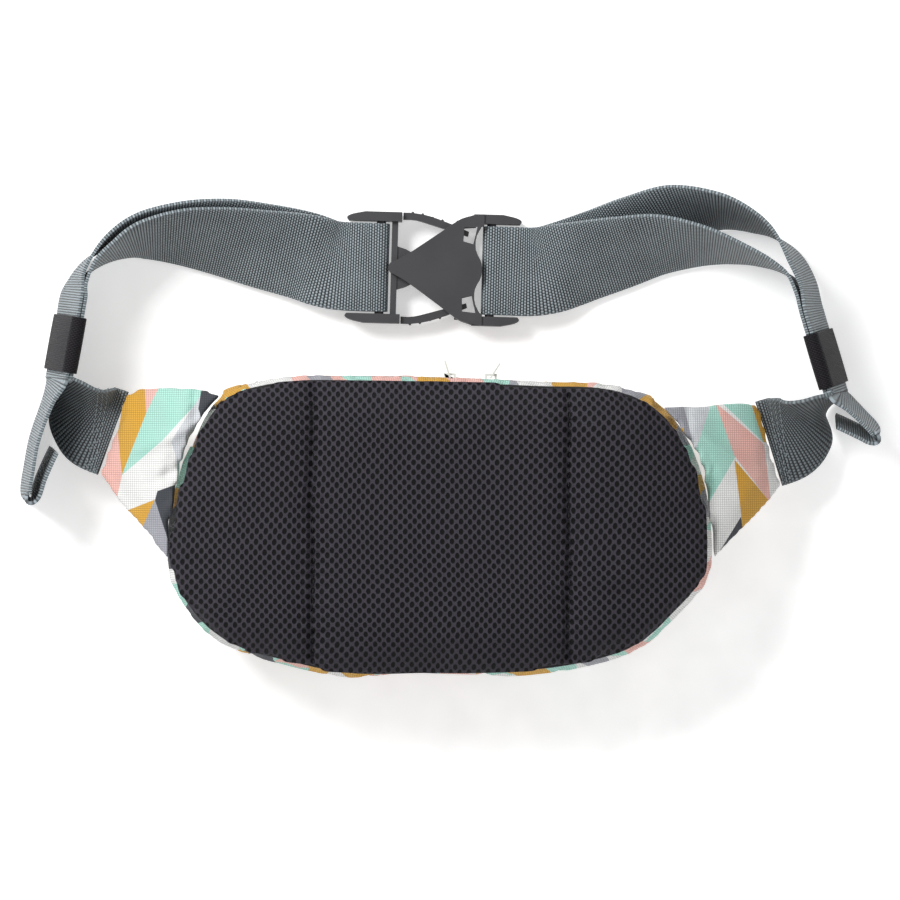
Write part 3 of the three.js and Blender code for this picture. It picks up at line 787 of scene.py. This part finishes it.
def settle(piece, pinned, pressure=4.0, spare=0.0, cap=3.0, stiffness=15.0, bending=0.5):
    """Runs the cloth and writes the capped result into the mesh; `pinned` says which points stay."""
    mesh = piece.data
    start = np.empty(len(mesh.vertices) * 3)
    mesh.vertices.foreach_get("co", start)
    start = start.reshape(-1, 3)
    group = piece.vertex_groups.new(name="pins")
    group.add([i for i, point in enumerate(start) if pinned(*(point / MM))], 1.0, "REPLACE")
    cloth = piece.modifiers.new("cloth", "CLOTH")
    settings = cloth.settings
    settings.vertex_group_mass = "pins"
    settings.quality = 6
    settings.mass = 0.2
    settings.tension_stiffness = settings.compression_stiffness = stiffness
    settings.bending_stiffness = bending
    settings.use_pressure = True
    settings.uniform_pressure_force = pressure
    settings.shrink_min = -spare
    settings.effector_weights.gravity = 0.0
    cloth.collision_settings.use_collision = False
    cloth.point_cache.frame_start, cloth.point_cache.frame_end = 1, CLOTH_FRAMES
    for step in range(1, CLOTH_FRAMES + 1):
        bpy.context.scene.frame_set(step)
    shaped = piece.evaluated_get(bpy.context.evaluated_depsgraph_get()).to_mesh()
    settled = np.empty(len(start) * 3)
    shaped.vertices.foreach_get("co", settled)
    move = settled.reshape(-1, 3) - start
    length = np.linalg.norm(move, axis=1, keepdims=True)
    move *= np.minimum(1.0, cap * MM / np.maximum(length, 1e-9))
    piece.modifiers.clear()
    piece.vertex_groups.clear()
    bpy.context.scene.frame_set(1)
    mesh.vertices.foreach_set("co", (start + move).ravel())
    mesh.update()
    print(piece.name, "moved by up to", round(float(length.max()) / MM, 1), "mm, capped at", cap)


def remesh(piece, voxel):
    """One even skin over the piece, with no inner walls."""
    modifier = piece.modifiers.new("even skin", "REMESH")
    modifier.mode = "VOXEL"
    modifier.voxel_size = voxel * MM
    apply_modifiers(piece)


def subdivide(piece, levels=1):
    modifier = piece.modifiers.new("smooth", "SUBSURF")
    modifier.levels = modifier.render_levels = levels
    apply_modifiers(piece)
    piece.data.polygons.foreach_set("use_smooth", [True] * len(piece.data.polygons))


def push(piece, shift):
    """Moves every point by shift(x, y, z, normal), a vector in millimetres."""
    moved = []
    for v in piece.data.vertices:
        moved.extend(v.co + shift(*(v.co / MM), v.normal.copy()) * MM)
    piece.data.vertices.foreach_set("co", moved)
    piece.data.update()


def joined_nodes(*names):
    bm = bmesh.new()
    for name in names:
        bm.from_mesh(nodes[name].data)
    bmesh.ops.remove_doubles(bm, verts=bm.verts, dist=0.00001)
    return bm


def wrinkle(x, y, z, scale, strength):
    """Smooth random height in millimetres."""
    return noise.noise(Vector((x, y, z)) / scale) * strength


# %% [markdown]
# ## The back pads
# One padded piece covers the back. It swells as cloth, and two sewn channels are then pressed in from top to bottom.
# Beside each channel the mesh puckers a little where the stitches pull it.

# %% Back pads
CHANNELS = (-52.5, 55.1)
PAD_MIDDLE = 53.0

pads = new_piece("back_pads", joined_nodes("mesh_pad_left", "mesh_pad_centre", "mesh_pad_right"), mesh_finish, "bag",
                 slot="spacer_mesh")
remesh(pads, 4.0)
settle(pads, lambda x, y, z: z < 50.5, pressure=3.0, cap=2.2)
subdivide(pads, 2)


def channel_dip(x, y, z, normal):
    dip = 0.0
    for channel in CHANNELS:
        distance = (x - channel + 0.4 * math.sin(y / 9.0)) / 1.0
        pull = 0.75 + 0.25 * math.sin(y * 1.35 + channel)
        dip += 2.6 * math.exp(-(distance / 1.5) ** 2) + 2.6 * pull * math.exp(-(distance / 7.0) ** 2)
    lift = min(1.0, max(0.0, (z - PAD_MIDDLE) / 4.0))
    bumps = wrinkle(x, y, z, 26.0, 0.7) + wrinkle(x, y, z, 9.0, 0.25)
    crown = 3.0 * max(0.0, 1 - (y / 60) ** 2) * max(0.0, 1 - (x / 112) ** 4)
    grow = Vector((normal.x, normal.y, 0)) * 1.5
    return Vector((0, 0, 1)) * (crown - dip) * lift + normal * bumps * (0.3 + lift) + grow


push(pads, channel_dip)
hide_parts("mesh_pad_left", "mesh_pad_centre", "mesh_pad_right")
print("back pads", len(pads.data.polygons), "faces")

# %% [markdown]
# ## The pouch
# The side wall is measured off the frame: rays from outside find its surface all the way round, which gives an even
# grid to run as cloth. The zip's slot stays open. The front panel and its pocket are remeshed copies.


# %% Side wall
def skin_tree(*names):
    bm = joined_nodes(*names)
    tree = BVHTree.FromBMesh(bm)
    bm.free()
    return tree


WALL_ROWS = [12.6, 14.5, 17, 20, 23, 26.4, 28.5, 32, 35.5, 37.6, 39.5, 41.5, 43.5, 45.6]
SLOT = {"x": 81.6, "low": 26.4, "high": 37.6}
WALL_STEPS = 260
wall_tree = skin_tree("gusset")


def wall_point(angle, z):
    """Where the wall's outer face is, looking in from outside at a height in millimetres."""
    direction = Vector((math.cos(angle), math.sin(angle) * 0.62, 0)).normalized()
    centre = Vector((0.5, 0, z)) * MM
    hit = wall_tree.ray_cast(centre + direction * 0.3, -direction)
    return hit[0]


def wall_grid():
    columns = []
    for step in range(WALL_STEPS):
        angle = -math.pi / 2 + 2 * math.pi * step / WALL_STEPS
        columns.append({z: wall_point(angle, z) for z in WALL_ROWS})
    low, high = SLOT["low"], SLOT["high"]
    for column in columns:
        for z in WALL_ROWS:
            if low < z < high and column[low].y > 0 and abs(column[low].x) < SLOT["x"] * MM:
                share = (z - low) / (high - low)
                column[z] = column[low].lerp(column[high], share)
    return columns


wall_columns = wall_grid()
bm = bmesh.new()
uv = bm.loops.layers.uv.new("weave")
grid = [[bm.verts.new(column[z]) for z in WALL_ROWS] for column in wall_columns]
lengths = [0.0]
for column, following in zip(wall_columns, wall_columns[1:] + wall_columns[:1]):
    lengths.append(lengths[-1] + (following[WALL_ROWS[7]] - column[WALL_ROWS[7]]).length)
for i in range(WALL_STEPS):
    following = (i + 1) % WALL_STEPS
    for j in range(len(WALL_ROWS) - 1):
        corners = [grid[i][j], grid[following][j], grid[following][j + 1], grid[i][j + 1]]
        middle = sum((v.co for v in corners), Vector()) / 4 / MM
        if middle.y > 0 and abs(middle.x) < SLOT["x"] and SLOT["low"] < middle.z < SLOT["high"]:
            continue
        face = bm.faces.new(corners)
        spots = [(lengths[i], j), (lengths[i + 1], j), (lengths[i + 1], j + 1), (lengths[i], j + 1)]
        for loop, (run, row) in zip(face.loops, spots):
            loop[uv].uv = (run, WALL_ROWS[row] * MM)
wall = new_piece("side_wall", bm, side_print_finish, "bag", slot="printed_fabric")


def wall_pins(x, y, z):
    at_slot = y > 0 and abs(x) < SLOT["x"] + 3 and SLOT["low"] - 0.5 < z < SLOT["high"] + 0.5
    return z < 13 or z > 45 or at_slot


subdivide(wall, 1)
settle(wall, wall_pins, pressure=0.6, spare=0.04, cap=1.4, bending=0.2)


def tuck(x, y, z, _):
    """Draws the wall in below the pads, and leaves the zip's stretch alone."""
    away = 0.0 if y > 30 and abs(x) < 92 else 1.0
    return Vector((-x / 110, -y / 60, 0)) * 1.0 * away * math.sin(math.pi * (z - 12) / 34)


push(wall, tuck)
thicken(wall, 1.2 * MM, offset=-1.0)
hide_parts("gusset")
print("side wall", len(wall.data.polygons), "faces", round(lengths[-1], 3), "m round")

# %% [markdown]
# Where two panels meet, their seam is covered by a black piping: a thin cord that follows the wall's edge.

# %% Piping
PIPING_RADIUS = 1.5


def tube_bmesh(points, radius, sides=10):
    """A closed ring of tube through the points, all in millimetres."""
    bm = bmesh.new()
    rings, count = [], len(points)
    for i, point in enumerate(points):
        travel = (points[(i + 1) % count] - points[i - 1]).normalized()
        outward = travel.cross(Vector((0, 0, 1))).normalized()
        ring = []
        for k in range(sides):
            angle = k * math.tau / sides
            offset = outward * math.cos(angle) + travel.cross(outward) * math.sin(angle)
            ring.append(bm.verts.new((point + offset * radius) * MM))
        rings.append(ring)
    for i in range(count):
        a, b = rings[i], rings[(i + 1) % count]
        for k in range(sides):
            bm.faces.new((a[k], a[(k + 1) % sides], b[(k + 1) % sides], b[k]))
    bmesh.ops.recalc_face_normals(bm, faces=bm.faces)
    return bm


for name, height in (("back", WALL_ROWS[-1]), ("front", WALL_ROWS[0])):
    ring = [column[height] / MM for column in wall_columns]
    inset = [point - Vector((point.x, point.y, 0)).normalized() * 0.8 for point in ring]
    piping = new_piece("piping_" + name, tube_bmesh(inset, PIPING_RADIUS), foam_finish, "bag",
                       slot="lining_fabric")
    print(piping.name, len(piping.data.polygons), "faces")

# %% [markdown]
# The front shell is remeshed and settles a little. The pocket patch and the lining lie flat, so they keep their shape.

# %% Front and pocket
front = new_piece("front_shell", joined_nodes("front_panel"), front_print_finish, "bag", slot="printed_fabric")
remesh(front, 4.0)
settle(front, lambda x, y, z: z > 11.0, pressure=2.0, cap=1.2)
subdivide(front, 1)
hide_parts("front_panel")

pocket = new_piece("front_pocket_pouch", joined_nodes("front_pocket"), front_print_finish, "bag",
                   slot="printed_fabric")
remesh(pocket, 1.8)
subdivide(pocket, 1)
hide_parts("front_pocket")

back = new_piece("back_lining", joined_nodes("back_panel"), foam_finish, "bag", slot="lining_fabric")
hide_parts("back_panel")
print("front", len(front.data.polygons), "pocket", len(pocket.data.polygons), "faces")

# %% [markdown]
# ## The wings
# Each wing is a padded triangle of the printed canvas between the pouch and the belt. Near the pouch it is gathered,
# so a few folds run out from the seam and fade towards the belt.


# %% Wings
FOLDS = {
    "left": [((-96, 46), (-133, 30), 2.2, 2.8), ((-97, 30), (-124, 18), -2.0, 2.2), ((-97, 20), (-118, 6), 1.6, 2.2),
             ((-103, 52), (-103, 26), -1.6, 1.8)],
    "right": [((99, 44), (134, 26), 1.8, 2.8), ((99, 24), (126, 14), -1.8, 2.2), ((100, 12), (122, 3), 1.4, 2.2),
              ((106, 48), (107, 12), -1.4, 1.8)],
}


def fold_height(x, y, folds):
    """Height of the gathers at a place: each is a ridge or a groove along a line, fading towards its ends."""
    total = 0.0
    for (ax, ay), (bx, by), height, width in folds:
        dx, dy = bx - ax, by - ay
        length = math.hypot(dx, dy)
        along = ((x - ax) * dx + (y - ay) * dy) / length ** 2
        aside = ((y - ay) * dx - (x - ax) * dy) / length
        fade = max(0.0, 1 - (2 * along - 1) ** 2) if along > 0.5 else min(1.0, 1 + along)
        total += height * max(0.0, fade) * math.exp(-(aside / width) ** 2)
    return total


for side in ("left", "right"):
    wing = new_piece("wing_pad_" + side, joined_nodes("wing_" + side), wing_finishes[side], "bag",
                     slot="printed_fabric")
    remesh(wing, 2.4)
    (x0, _, _), (x1, _, _) = [[c / MM for c in corner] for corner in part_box("wing_" + side)]
    inner, outer = (x1 - 6, x0 + 4) if side == "left" else (x0 + 6, x1 - 4)
    sign = -1 if side == "left" else 1
    settle(wing, lambda x, y, z: (x - inner) * sign < 0 or (x - outer) * sign > 0, pressure=2.5, spare=0.03, cap=2.2,
           bending=0.2)
    subdivide(wing, 1)
    folds = FOLDS[side]
    push(wing, lambda x, y, z, n: Vector((0, 0, fold_height(x, y, folds) + wrinkle(x, y, z, 14.0, 0.8))))
    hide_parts("wing_" + side)
    print(wing.name, len(wing.data.polygons), "faces")

# %% [markdown]
# ## The zips
# A zip is two woven tapes with a nylon coil between them. The tapes keep the frame's shape and only need their finish.
# The coil is a row of small loops, each a bent rod of a few faces, because there are hundreds of them.

# %% Zip tapes and coils
ZIPS = {
    "main_zip": {"length": 156, "at": (0, 59.4, 32), "turn": ("Z", -0.8)},
    "pocket_zip": {"length": 104, "at": (0, 56, 6.6), "turn": ("X", -50)},
}
COIL_PITCH = 1.5
COIL_LOOP = [(-1.9, 0.1), (-1.7, 1.0), (-0.6, 1.3), (0.6, 1.3), (1.7, 1.0), (1.9, 0.1)]
ROD = 0.5


def coil_bmesh(length):
    """Bent rods side by side along X, rising towards +Y across Z."""
    bm = bmesh.new()
    count = round(length / COIL_PITCH)
    for k in range(count):
        x = (k + 0.5) * COIL_PITCH - length / 2
        rings = []
        for i, (z, y) in enumerate(COIL_LOOP):
            lean = (i / (len(COIL_LOOP) - 1) - 0.5) * 0.5
            ring = []
            for dx, dr in ((-ROD, 0), (0, -ROD * 0.7), (ROD, 0), (0, ROD * 0.7)):
                rise = dr if abs(z) < 1.8 else 0.0
                side = -math.copysign(dr, z) if abs(z) >= 1.8 else 0.0
                ring.append(bm.verts.new(Vector((x + dx + lean, y + rise, z + side)) * MM))
            rings.append(ring)
        for a, b in zip(rings, rings[1:]):
            for j in range(4):
                bm.faces.new((a[j], a[(j + 1) % 4], b[(j + 1) % 4], b[j]))
        bm.faces.new(rings[0][::-1])
        bm.faces.new(rings[-1])
    bmesh.ops.recalc_face_normals(bm, faces=bm.faces)
    return bm


for name, zip_facts in ZIPS.items():
    for side in ("back", "front"):
        tape = nodes[name + "_tape_" + side]
        tape.data.materials.clear()
        tape.data.materials.append(tape_finish)
    axis, degrees = zip_facts["turn"]
    place = Matrix.Translation(Vector(zip_facts["at"]) * MM) @ Matrix.Rotation(math.radians(degrees), 4, axis)
    bm = coil_bmesh(zip_facts["length"])
    bmesh.ops.transform(bm, matrix=place, verts=bm.verts)
    coil = new_piece(name + "_teeth", bm, coil_finish, "bag", slot="zip_coil")
    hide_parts(name + "_coil")
    print(coil.name, len(coil.data.polygons), "faces")

# %% [markdown]
# ## Stitches
# Stitches are short fat threads, sunk a little into the cloth. Each row follows a path that is first dropped onto the
# cloth below it with a ray.


# %% Rows of stitches
def stitch_row(bm, path, length=2.2, gap=1.0, radius=0.28, lift=0.12):
    """Capsules along a path of (point, outward) pairs in millimetres."""
    run, spots = 0.0, []
    for (a, up_a), (b, up_b) in zip(path, path[1:]):
        step = (b - a).length
        while run <= step and step > 0:
            spots.append((a.lerp(b, run / step), (b - a).normalized(), up_a.lerp(up_b, run / step).normalized()))
            run += length + gap
        run -= step
    for point, travel, up in spots:
        side = travel.cross(up).normalized()
        rings = []
        for share, size in ((-0.5, 0.45), (-0.3, 1.0), (0.3, 1.0), (0.5, 0.45)):
            sink = -1.6 * radius if abs(share) == 0.5 else 0.0
            centre = point + travel * share * length + up * (lift + sink)
            ring = []
            for k in range(5):
                angle = k * math.tau / 5
                offset = side * math.cos(angle) + up * math.sin(angle)
                ring.append(bm.verts.new((centre + offset * radius * size) * MM))
            rings.append(ring)
        for a, b in zip(rings, rings[1:]):
            for j in range(5):
                bm.faces.new((a[j], a[(j + 1) % 5], b[(j + 1) % 5], b[j]))
        bm.faces.new(rings[0][::-1])
        bm.faces.new(rings[-1])


def dropped(tree, points, direction=Vector((0, 0, -1))):
    """Each point moved along the direction to where it meets the cloth."""
    path = []
    for point in points:
        hit = tree.ray_cast(Vector(point) * MM - direction * 0.05, direction)
        if hit[0] is not None:
            path.append((hit[0] / MM, hit[1] if hit[1].dot(direction) < 0 else -hit[1]))
    return path


def piece_tree(piece):
    bm = bmesh.new()
    bm.from_mesh(piece.data)
    tree = BVHTree.FromBMesh(bm)
    bm.free()
    return tree


def between(a, b, count=40):
    return [Vector(a).lerp(Vector(b), k / count) for k in range(count + 1)]


pads_tree = piece_tree(pads)
bm = bmesh.new()
for channel in CHANNELS:
    wavy = [Vector((channel - 0.4 * math.sin(p.y / 9.0), p.y, 55)) for p in between((0, -57, 0), (0, 56, 0), 90)]
    stitch_row(bm, dropped(pads_tree, wavy), length=2.6, gap=0.9, radius=0.22)
bmesh.ops.recalc_face_normals(bm, faces=bm.faces)
channel_stitches = new_piece("channel_stitches", bm, thread_finish, "bag")

SEAMS = {"left": [(-139.5, 58.5), (-146.5, 21.5)], "right": [(140.5, 54), (147.0, 13.5)]}
bm = bmesh.new()
for side, (top, bottom) in SEAMS.items():
    webbing_tree = piece_tree(webbing[side])
    sign = -1 if side == "left" else 1
    for offset in (1.6, 3.4, 5.2):
        row = between((top[0] + sign * offset, top[1], 40), (bottom[0] + sign * offset, bottom[1], 40))
        stitch_row(bm, dropped(webbing_tree, row), length=1.8, gap=0.7, radius=0.24)
bmesh.ops.recalc_face_normals(bm, faces=bm.faces)
seam_stitches = new_piece("wing_seam_stitches", bm, pale_thread_finish, "bag")
print("stitches:", len(channel_stitches.data.polygons), len(seam_stitches.data.polygons), "faces")


# %% [markdown]
# ## The table
# The table isn't part of the pack. It glows faintly, which keeps it as white as a product table under studio light.

# %% The table
TABLE_HALF = 6
TABLE_DROP = 0.4 * MM

bm = bmesh.new()
bmesh.ops.create_grid(bm, x_segments=2, y_segments=2, size=TABLE_HALF)
floor_mesh = bpy.data.meshes.new("table_top")
bm.to_mesh(floor_mesh)
bm.free()
floor_mesh.materials.append(floor_finish)
floor = bpy.data.objects.new("table_top", floor_mesh)
floor_mesh.transform(Matrix.Translation((0, 0, -TABLE_DROP)))
bpy.context.scene.collection.objects.link(floor)
